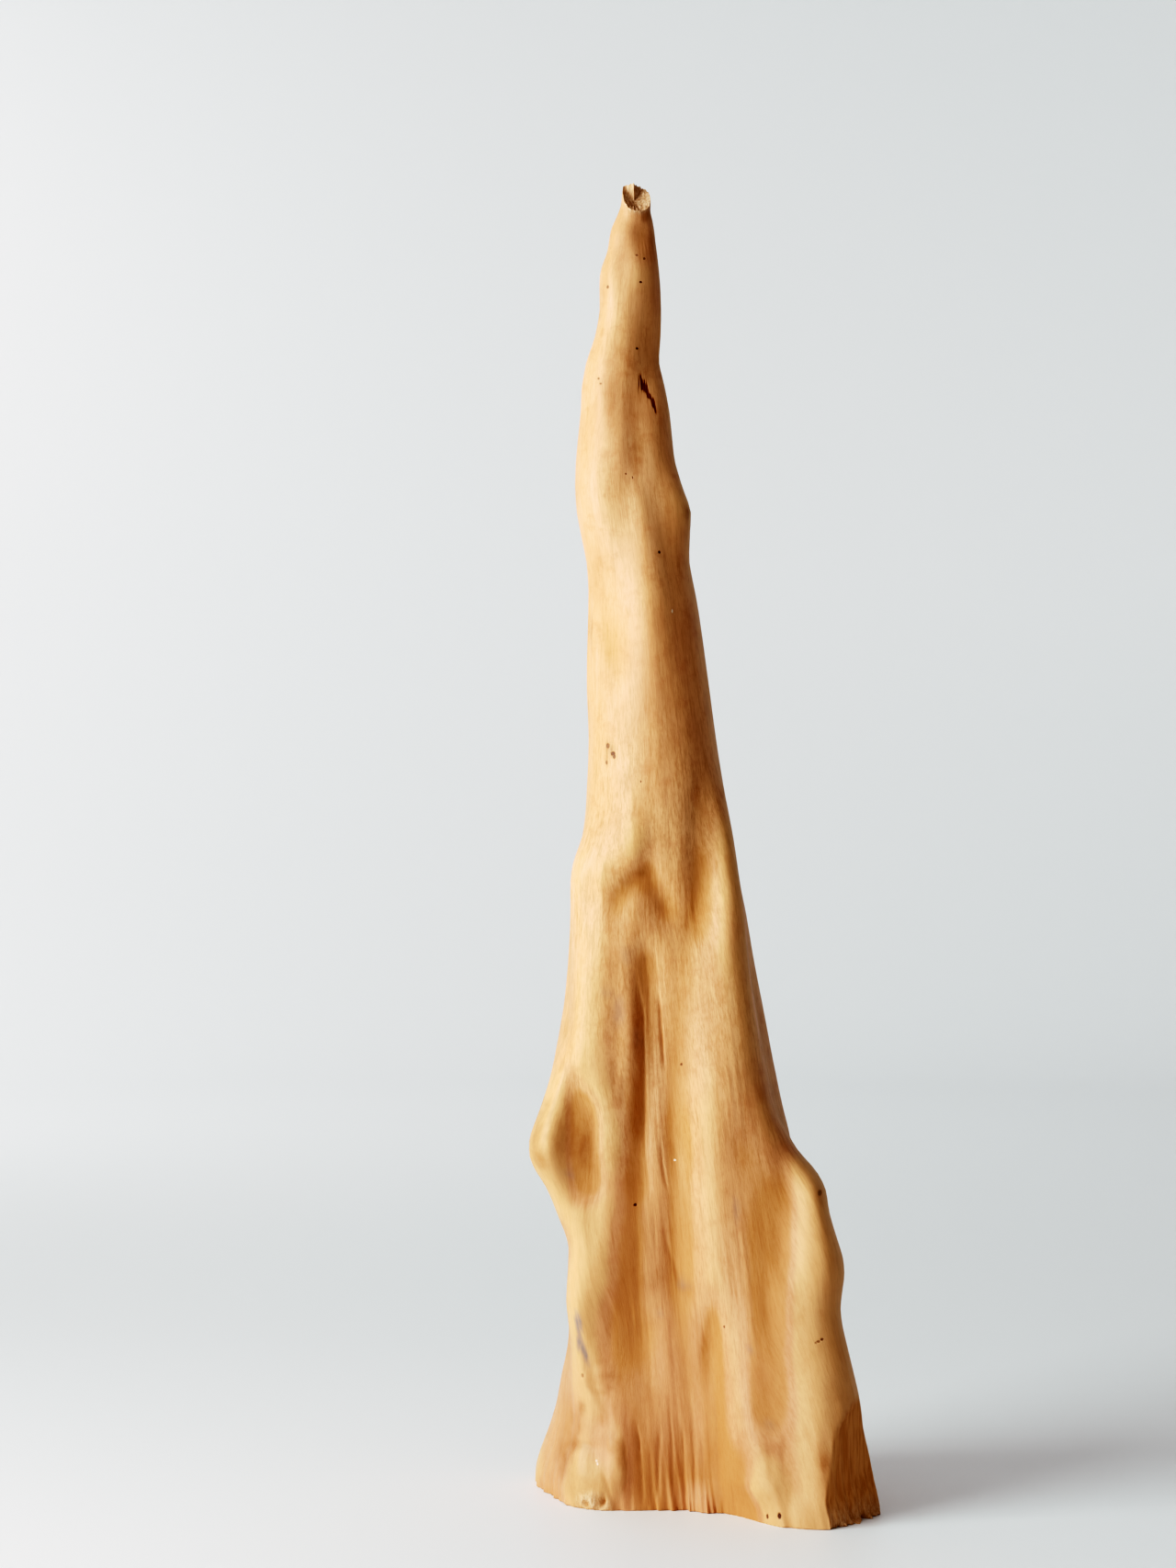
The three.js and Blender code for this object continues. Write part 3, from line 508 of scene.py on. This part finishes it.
frayed = np.clip(1.3 - np.hypot((x + 76) / 11, (z - 3) / 9), 0, 1) * front * (y < -20)
relief += lumps + frayed * 0.45 * grown_noise(31, 1.0, 1.6)
torn = np.clip(frayed * 1.6, 0, 1) * np.clip(0.35 + lumps * 0.5, 0, 1)
# painted shade in the pits between the curls
painted_recess_shade = np.maximum(painted_recess_shade, np.clip(-lumps * 0.55, 0, 1))
radius = radius + relief / 1000

# the axe takes the chip off again in three strokes, and the last fibres tear: a point of each
# stroke's face and the way out of it
STROKES = [
    ((0.0812, -0.0857, 0.03), (0.82, -0.57, 0.0)),
    ((0.0837, -0.0810, 0.058), (0.866, -0.331, -0.377)),
    ((0.0805, -0.0892, 0.011), (0.78, -0.627, 0.25)),
]
base = np.stack([pith_x, pith_y, heights], 2)
way_out = np.stack([np.cos(turns), np.sin(turns), 0 * turns], 1)
chip_radius = np.full_like(radius, -1e9)
for point, out in STROKES:
    out = np.array(out) / np.linalg.norm(out)
    slope = way_out @ out
    reach = np.where(slope > 0.05, ((np.array(point) - base) @ out) / np.maximum(slope, 0.05), 1e9)
    chip_radius = np.maximum(chip_radius, reach)
tool = 0.16 * grown_noise(41, 2.2, 20) + 0.12 * np.sin(heights * 1000 / 7.0 + turns * 9)
tears = np.clip(1.2 - heights * 1000 / 14, 0, 1)
chip_radius = chip_radius + (tool + tears * 0.8 * grown_noise(42, 1.1, 1.8)) / 1000
cut = (chip_radius < radius) & (heights < 0.1) & (chip_radius > 0.03)
radius = np.where(cut, chip_radius, radius)
cut_mask = smoothed(cut.astype(float), 0.7, 0.6)
torn = np.maximum(torn, cut_mask * tears * 0.8)

# a ball whose rings become the broken face, the skin and the sawn base, from the top down, with
# three more for its two ends and the edge of the base
BALL_RINGS = FACE_RINGS + RINGS + 3
bpy.ops.mesh.primitive_uv_sphere_add(segments=COLUMNS, ring_count=BALL_RINGS, radius=1,
                                     calc_uvs=False)
knee = bpy.context.object
knee.name = "peeled_knee"
knee.data.name = "peeled_knee"
mesh = knee.data
points = np.empty(len(mesh.vertices) * 3)
mesh.vertices.foreach_get("co", points)
points = points.reshape(-1, 3)
from_top = np.arccos(np.clip(points[:, 2], -1, 1)) / np.pi * BALL_RINGS
from_top = np.rint(from_top).astype(int)
column = (np.arctan2(points[:, 1], points[:, 0]) - np.pi / 2) / (2 * np.pi) * COLUMNS
column = np.rint(column).astype(int) % COLUMNS
on_face = from_top <= FACE_RINGS
on_base = from_top > FACE_RINGS + RINGS + 1
inward = np.where(on_face, 1 - from_top / (FACE_RINGS + 1), 0)
ring = np.clip(FACE_RINGS + RINGS + 1 - from_top, 0, RINGS)

closeness = np.interp(nominal, RING_CLOSENESS[:, 0], RING_CLOSENESS[:, 1])
reached = np.concatenate([[0], np.cumsum((closeness[1:] + closeness[:-1]) / 2)])
ring_rows = np.interp(np.arange(RINGS + 1) / RINGS, reached / reached[-1], np.arange(len(nominal)))

column_turns = np.zeros((RINGS + 1, COLUMNS))
plain = smoothed(radius, 6, 10)
for i, row in enumerate(ring_rows):
    low = min(int(row), len(nominal) - 2)
    r = plain[low] * (low + 1 - row) + plain[low + 1] * (row - low)
    side = np.stack([r * np.cos(turns), r * np.sin(turns)], 1)
    arc = np.linalg.norm(np.roll(side, -1, 0) - side, axis=1)
    height = nominal[low]
    favour = 1 + 1.1 * np.clip(0.15 - np.sin(turns), 0, 1) ** 0.7
    favour += 2.2 * math.exp(-(height / 0.09) ** 4) * np.exp(
        -((np.degrees(turns) - 318) / 13) ** 2)
    weight = (0.6 * arc / arc.mean() + 0.4) * favour
    summed = np.concatenate([[0], np.cumsum(weight)])
    column_turns[i] = np.interp(np.arange(COLUMNS) / COLUMNS, summed / summed[-1],
                                np.arange(DIRECTIONS + 1))

rows = ring_rows[ring]
steps = column_turns[ring, column]


def on_skin(field):
    """a field of the samples at the mesh's vertices"""
    low = np.minimum(rows.astype(int), len(nominal) - 2)
    left = steps.astype(int) % DIRECTIONS
    up, on = rows - low, steps - steps.astype(int)
    right = (left + 1) % DIRECTIONS
    return ((field[low, left] * (1 - on) + field[low, right] * on) * (1 - up)
            + (field[low + 1, left] * (1 - on) + field[low + 1, right] * on) * up)


turn = np.pi / 2 + steps * 2 * np.pi / DIRECTIONS
rag = np.random.default_rng(51).standard_normal(COLUMNS)
rag = sum(w * np.roll(rag, s) for s, w in zip(range(-3, 4), (0.1, 0.2, 0.4, 0.5, 0.4, 0.2, 0.1)))
vertex_height = on_skin(heights)
near_rim = np.clip((vertex_height - rim_at(turn) + 0.006) / 0.006, 0, 1)
vertex_height = vertex_height + near_rim * rag[column] * 0.0004
vertex_radius = on_skin(radius) - near_rim**2 * 0.0005
center_x, center_y = pith_at(vertex_height)
point_x = center_x + vertex_radius * np.cos(turn)
vertex_swell = on_skin(swell) / 1000
point_y = center_y + vertex_radius * np.sin(turn) - vertex_swell
point_z = vertex_height.copy()

# the broken face: torn fibres that lean back to the high side, with a hole where one pulled out
share = inward
middle_x, middle_y, middle_z = -0.0465, -0.0105, 0.8875
fibre = np.random.default_rng(52).standard_normal((FACE_RINGS + 1, COLUMNS))
fibre = sum(w * np.roll(fibre, s, 1) for s, w in zip(range(-6, 7), np.hanning(15)[1:-1]))
face_ring = np.clip(np.rint(share * FACE_RINGS), 0, FACE_RINGS).astype(int)
point_x = np.where(on_face, point_x * (1 - share) + middle_x * share, point_x)
point_y = np.where(on_face, point_y * (1 - share) + middle_y * share, point_y)
face_z = point_z * (1 - share) + middle_z * share
face_z -= 0.0010 * np.sin(np.pi * np.clip(share, 0, 1))
face_z += 0.00035 * fibre[face_ring, column] * np.clip(4 * share, 0, 1) * (1 - share)
hole = np.exp(-(((point_x + 0.0535) / 0.0022) ** 2 + ((point_y + 0.011) / 0.003) ** 2))
face_z -= 0.0016 * hole
point_z = np.where(on_face, face_z, point_z)

# the saw cut, with a slightly broken arris
cut_radius = (vertex_radius - 0.0011) * (from_top == BALL_RINGS - 1)
point_x = np.where(on_base, center_x + cut_radius * np.cos(turn), point_x)
point_y = np.where(on_base, center_y + cut_radius * np.sin(turn), point_y)
point_z = np.where(on_base, 0.0, point_z)
first_ring = (ring == 0) & ~on_base
point_z = np.where(first_ring, 0.0006 + 0.0002 * rag[column], point_z)

low_corner, high_corner = (np.array(corner) for corner in solid_bounds)
points = np.stack([point_x, point_y, point_z], 1)
points = np.clip(points, low_corner, high_corner)
mesh.vertices.foreach_set("co", points.ravel())
mesh.update()

mean_radius = radius.mean(1)[:, None] * np.ones_like(z)
vertex_mean = on_skin(mean_radius) * (1 - share)
grain = np.stack([vertex_mean * np.cos(turn), vertex_mean * np.sin(turn), vertex_height], 1)
mesh.attributes.new("grain", "FLOAT_VECTOR", "POINT").data.foreach_set("vector", grain.ravel())
torn_all = np.where(on_face, 1.0, np.maximum(on_skin(torn), near_rim**3))
for name, amount in (
    ("hollow", on_skin(hollow)), ("painted_recess_shade", on_skin(painted_recess_shade)), ("gash", on_skin(gash)),
    ("brown", on_skin(brown)), ("grey", on_skin(grey)), ("pink", on_skin(pink)),
    ("torn", torn_all), ("cut", on_skin(cut_mask)), ("broken", np.where(on_face, 1.0, 0.0)),
    ("sawn", np.where(on_base, 1.0, 0.0)),
):
    attribute = mesh.attributes.new(name, "FLOAT", "POINT")
    attribute.data.foreach_set("value", amount.astype(np.float32))
bpy.ops.object.shade_smooth_by_angle(angle=math.radians(40))

# honey-coloured sapwood with a satin polish
wood = bpy.data.materials.new("polished root wood")
wood.use_nodes = True
wood.node_tree.nodes.clear()


class Reading:
    """a socket of the wood's shader that adds its Math nodes when it is reckoned with"""

    def __init__(self, socket):
        self.socket = socket

    def __add__(self, other):
        return wood_node("ShaderNodeMath", {"operation": "ADD"}, {0: self, 1: other})

    def __sub__(self, other):
        return wood_node("ShaderNodeMath", {"operation": "SUBTRACT"}, {0: self, 1: other})

    def __rsub__(self, other):
        return wood_node("ShaderNodeMath", {"operation": "SUBTRACT"}, {0: other, 1: self})

    def __mul__(self, other):
        return wood_node("ShaderNodeMath", {"operation": "MULTIPLY"}, {0: self, 1: other})

    __radd__ = __add__

    def held(self):
        """the reading held between 0 and 1"""
        return wood_node("ShaderNodeClamp", {}, {0: self})

    def between(self, low, high):
        """how far the reading is from low to high, held between 0 and 1"""
        return wood_node("ShaderNodeMapRange", {"interpolation_type": "SMOOTHSTEP"},
                         {0: self, 1: low, 2: high})

    def larger(self, other):
        return wood_node("ShaderNodeMath", {"operation": "MAXIMUM"}, {0: self, 1: other})


def wood_node(kind, settings, inputs, output=0):
    """a node of the wood's shader: its settings, then the values or links of its sockets"""
    node = wood.node_tree.nodes.new(kind)
    for name, value in settings.items():
        setattr(node, name, value)
    for name, value in inputs.items():
        if isinstance(value, Reading):
            wood.node_tree.links.new(value.socket, node.inputs[name])
        else:
            node.inputs[name].default_value = value
    return Reading(node.outputs[output]) if node.outputs else None


def on_piece(name):
    """a number that the skin carries"""
    return wood_node("ShaderNodeAttribute", {"attribute_name": name}, {}, "Fac")


def stretched(place, scale):
    """a place scaled by x, y and z"""
    return wood_node("ShaderNodeVectorMath", {"operation": "MULTIPLY"}, {0: place, 1: scale})


def noise(place, scale, detail=3.0, rough=0.55):
    """even noise from 0 to 1 at a place"""
    return wood_node("ShaderNodeTexNoise", {},
                     {"Vector": place, "Scale": scale, "Detail": detail, "Roughness": rough})


def tinted(color, other, amount):
    """a colour mixed towards another by an amount"""
    node = {"data_type": "RGBA", "blend_type": "MIX"}
    return wood_node("ShaderNodeMix", node, {0: amount, 6: color, 7: other}, 2)


here = wood_node("ShaderNodeTexCoord", {}, {}, "Object")
grain_place = wood_node("ShaderNodeAttribute", {"attribute_name": "grain"}, {}, "Vector")

patches = noise(stretched(grain_place, (1, 1, 0.45)), 16, 2.0)
bands = noise(stretched(grain_place, (1, 1, 0.05)), 95, 3.0, 0.6)
streaks = noise(stretched(grain_place, (1, 1, 0.04)), 520, 4.0, 0.7)
flecks = noise(stretched(grain_place, (1, 1, 0.10)), 1300, 2.0, 0.6)
clouds = noise(stretched(here, (1, 1, 0.6)), 30, 3.0, 0.6)
mottle = noise(here, 75, 5.0, 0.7)
specks = noise(here, 520, 1.0, 0.5)
above_foot = wood_node("ShaderNodeSeparateXYZ", {}, {0: here}, "Z")
fibrous = 1 - above_foot.between(0.40, 0.62) * 0.45

HONEY = (0.62, 0.330, 0.170, 1)
STRAW = (0.71, 0.420, 0.245, 1)
AMBER = (0.47, 0.225, 0.092, 1)
color = tinted(HONEY, STRAW, patches.between(0.45, 0.72) * 0.6)
color = tinted(color, AMBER, bands.between(0.5, 0.8) * 0.3)
color = tinted(color, STRAW, bands.between(0.5, 0.25) * 0.3)
color = tinted(color, (0.48, 0.235, 0.122, 1), clouds.between(0.46, 0.66) * 0.5)
color = tinted(color, (0.34, 0.155, 0.06, 1), streaks.between(0.44, 0.70) * fibrous * 0.55)
color = tinted(color, (0.36, 0.165, 0.065, 1), flecks.between(0.44, 0.74) * fibrous * 0.55)
color = tinted(color, (0.44, 0.195, 0.09, 1), mottle.between(0.50, 0.68) * 0.45)
color = tinted(color, (0.24, 0.10, 0.035, 1), specks.between(0.78, 0.84) * 0.3)

# it is browner and pinker towards the foot and at the tip
color = tinted(color, (0.45, 0.21, 0.115, 1), above_foot.between(0.46, 0.0) * 0.65)
color = tinted(color, (0.50, 0.255, 0.14, 1), above_foot.between(0.79, 0.89) * 0.55)

# the hollows are darkened with painted shade and the polish's patina there, and a painted
# highlight keeps the ridges pale
hollowness_shade_and_highlight = on_piece("hollow")
color = tinted(color, (0.36, 0.155, 0.04, 1), hollowness_shade_and_highlight.between(0.08, 0.8) * 0.5)
color = tinted(color, (0.72, 0.46, 0.22, 1), (0 - hollowness_shade_and_highlight).between(0.1, 0.8) * 0.3)

# stains and scuffs with broken borders
broken_up = mottle.between(0.3, 0.62) * 0.5 + 0.6
pink_amount = (on_piece("pink") * broken_up).held()
brown_amount = (on_piece("brown") * broken_up).held()
grey_amount = (on_piece("grey") * (streaks.between(0.3, 0.6) * 0.6 + 0.5)).held()
color = tinted(color, (0.56, 0.27, 0.155, 1), pink_amount * 0.7)
color = tinted(color, (0.26, 0.105, 0.035, 1), brown_amount * 0.8)
color = tinted(color, (0.20, 0.17, 0.16, 1), grey_amount * 0.85)
# painted shade in the creases, dents and the pits between the curls
painted_recess_shade_amount = on_piece("painted_recess_shade")
color = tinted(color, (0.20, 0.075, 0.02, 1), painted_recess_shade_amount.held() * 0.85)

# the axe cut is raw and browner, with the stroke's long ridges
cut_amount = on_piece("cut")
chopped = noise(stretched(here, (1, 1, 0.12)), 330, 3.0, 0.6)
raw = tinted((0.42, 0.20, 0.085, 1), (0.55, 0.29, 0.135, 1), chopped.between(0.35, 0.65))
color = tinted(color, raw, cut_amount)

# torn fibres, straw-coloured and darker in the gaps between them, partly their own colour and
# partly painted shade
torn_amount = on_piece("torn")
fibres = noise(stretched(here, (1, 1, 0.25)), 700, 3.0, 0.7)
ragged_wood = tinted((0.46, 0.26, 0.145, 1), (0.68, 0.46, 0.30, 1), fibres.between(0.38, 0.62))
color = tinted(color, ragged_wood, torn_amount.held() * 0.85)

# end grain under the foot: rings round the pith, crossed by the saw
sawn_amount = on_piece("sawn")
from_pith = wood_node("ShaderNodeVectorMath", {"operation": "DISTANCE"},
                      {0: stretched(here, (1, 1, 0)), 1: (0.006, 0.018, 0)}, "Value")
rings = wood_node("ShaderNodeMath", {"operation": "SINE"},
                  {0: from_pith * 1900 + noise(here, 28, 2.0) * 9})
saw_marks = noise(stretched(here, (0.05, 1, 1)), 900, 2.0)
end_grain = tinted((0.33, 0.175, 0.075, 1), (0.52, 0.32, 0.16, 1), rings.between(-0.9, 0.9))
end_grain = tinted(end_grain, (0.24, 0.12, 0.05, 1), saw_marks.between(0.5, 0.75) * 0.5)
color = tinted(color, end_grain, sawn_amount)


def spots(table):
    """how strong a table of small marks is on the front"""
    wavy = wood_node("ShaderNodeVectorMath", {"operation": "MULTIPLY_ADD"}, {
        0: wood_node("ShaderNodeTexNoise", {}, {"Vector": here, "Scale": 900.0}, "Color"),
        1: (0.0007, 0, 0.0007), 2: here})
    total = None
    for middle_x, middle_z, across, up, strength in table:
        scale = (1000 / across, 0, 1000 / up)
        place = wood_node("ShaderNodeMapping", {}, {
            "Vector": wavy, "Scale": scale,
            "Location": (-(middle_x + 0.35) / across, 0, -(middle_z + 0.35) / up)})
        far = wood_node("ShaderNodeVectorMath", {"operation": "LENGTH"}, {0: place}, "Value")
        spot = far.between(1.25, 0.6) * strength
        total = spot if total is None else total.larger(spot)
    depth = wood_node("ShaderNodeSeparateXYZ", {}, {0: here}, "Y")
    return total * depth.between(-0.005, -0.012)


pin_amount = spots(PINHOLES)
nick_amount = spots(WHITE_SPECKS)
gash_amount = on_piece("gash")
gash_core = (gash_amount + (specks - 0.5) * 0.5).between(0.25, 0.55)
color = tinted(color, (0.30, 0.12, 0.035, 1), gash_amount.between(0.02, 0.4) * 0.6)
color = tinted(color, (0.15, 0.045, 0.02, 1), gash_core)
color = tinted(color, (0.07, 0.025, 0.012, 1), pin_amount)
color = tinted(color, (0.85, 0.74, 0.6, 1), nick_amount)

rough_parts = torn_amount.larger(cut_amount).larger(sawn_amount).held()
roughness = (0.40 + mottle * 0.14 + streaks * 0.08 + hollowness_shade_and_highlight.held() * 0.08
             + rough_parts * 0.3 + gash_core * 0.3 + grey_amount * 0.1)
height_map = (streaks * 0.4 + flecks * 0.3 + bands * 0.3 + mottle * 0.3
              - pin_amount * 2.0 - gash_core * 1.2
              + torn_amount.held() * fibres * 3.0 + cut_amount * chopped * 1.6
              + sawn_amount * saw_marks * 2.0)
bump = wood_node("ShaderNodeBump", {}, {"Strength": 0.55, "Distance": 0.0006,
                                       "Height": height_map}, "Normal")
shader = wood_node("ShaderNodeBsdfPrincipled", {}, {
    "Base Color": color, "Roughness": roughness.held(), "Normal": bump,
    "IOR": 1.4}, "BSDF")
wood_node("ShaderNodeOutputMaterial", {}, {"Surface": shader})
knee.data.materials.clear()
knee.data.materials.append(wood)
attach(knee, "root")
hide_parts("root_knee")

# The floor is a pale studio cove: a wide round floor that curves up into a wall all round.
bpy.ops.object.select_all(action="DESELECT")
bpy.ops.mesh.primitive_cylinder_add(vertices=96, radius=4.2, depth=4.4, end_fill_type="NGON",
                                    location=(0, 0, 2.2))
cove = bpy.context.object
cove.name = "studio_cove"
bpy.ops.object.transform_apply(location=True)
bpy.ops.object.mode_set(mode="EDIT")
bpy.ops.mesh.select_all(action="DESELECT")
bpy.ops.object.mode_set(mode="OBJECT")
for face in cove.data.polygons:
    face.select = face.normal.z > 0.9
bpy.ops.object.mode_set(mode="EDIT")
bpy.ops.mesh.select_mode(type="FACE")
bpy.ops.mesh.delete(type="FACE")
bpy.ops.mesh.select_all(action="SELECT")
bpy.ops.mesh.flip_normals()
bpy.ops.mesh.select_all(action="DESELECT")
bpy.ops.object.mode_set(mode="OBJECT")
for edge in cove.data.edges:
    edge.select = all(cove.data.vertices[v].co.z < 0.01 for v in edge.vertices)
bpy.ops.object.mode_set(mode="EDIT")
bpy.ops.mesh.select_mode(type="EDGE")
bpy.ops.mesh.bevel(offset=1.0, segments=14, profile=0.5)
bpy.ops.object.mode_set(mode="OBJECT")
bpy.ops.object.shade_smooth()
paint = bpy.data.materials.new("pale studio paint")
paint.use_nodes = True
coat = paint.node_tree.nodes["Principled BSDF"]
coat.inputs["Base Color"].default_value = (0.80, 0.80, 0.81, 1)
coat.inputs["Roughness"].default_value = 0.5
cove.data.materials.append(paint)

# Soft light comes from a screen on the left and a little to the front. A second one lights the
# cove behind, and a grey cloth on the right keeps the shade deep. None of them is seen.
LIGHTS = [
    ("window_screen", (-1.77, -1.00, 0.97), (-0.03, 0, 0.50), 82, 1.4, 1.5, (1.0, 0.985, 0.975)),
    ("cove_screen", (-2.0, 1.9, 1.9), (-1.45, 4.1, 0.9), 46, 1.6, 1.2, (1.0, 0.99, 0.985)),
]
for name, place, target, watts, width, height, tint in LIGHTS:
    aim = Vector(target) - Vector(place)
    bpy.ops.object.light_add(type="AREA", location=place,
                             rotation=aim.to_track_quat("-Z", "Y").to_euler())
    lamp = bpy.context.object
    lamp.name = name
    lamp.data.shape = "RECTANGLE"
    lamp.data.size, lamp.data.size_y = width, height
    lamp.data.energy = watts
    lamp.data.color = tint
    lamp.visible_camera = False
bpy.ops.mesh.primitive_plane_add(size=1, location=(0, 0, 0))
flag = bpy.context.object
flag.name = "shade_flag"
flag.scale = (2.4, 2.6, 1)
flag.rotation_euler = (math.pi / 2, 0, math.radians(72))
flag.location = (1.25, -0.75, 1.31)
bpy.ops.object.transform_apply(location=True, rotation=True, scale=True)
cloth = bpy.data.materials.new("grey flag cloth")
cloth.use_nodes = True
weave = cloth.node_tree.nodes["Principled BSDF"]
weave.inputs["Base Color"].default_value = (0.12, 0.12, 0.12, 1)
weave.inputs["Roughness"].default_value = 1.0
flag.data.materials.append(cloth)
flag.visible_camera = False
flag.visible_shadow = False
world = bpy.data.worlds.new("studio air")
bpy.context.scene.world = world
world.use_nodes = True
air = world.node_tree.nodes["Background"]
air.inputs["Color"].default_value = (1.0, 0.97, 0.955, 1)
air.inputs["Strength"].default_value = 0.50

# the picture is printed with the contrast of the photograph: how light a place is, and how
# light it is shown, for all colours together, for blue and for red
view = bpy.context.scene.view_settings
view.view_transform = "Standard"
view.use_curve_mapping = True
view.curve_mapping.white_level = (1.6, 1.6, 1.6)
curve = view.curve_mapping.curves[3]
for light, shown in ((0.068, 0.008), (0.165, 0.088), (0.3, 0.26), (0.42, 0.41), (0.7, 0.68),
                     (0.9, 0.78), (1.2, 0.90)):
    curve.points.new(light / 1.6, shown)
for light, shown in ((0.0105, 0.0), (0.0205, 0.0145), (0.05, 0.048)):
    view.curve_mapping.curves[2].points.new(light, shown).handle_type = "VECTOR"
for light, shown in ((0.25, 0.245), (0.5, 0.465), (0.78, 0.785), (0.88, 0.93)):
    view.curve_mapping.curves[0].points.new(light, shown)
view.curve_mapping.update()
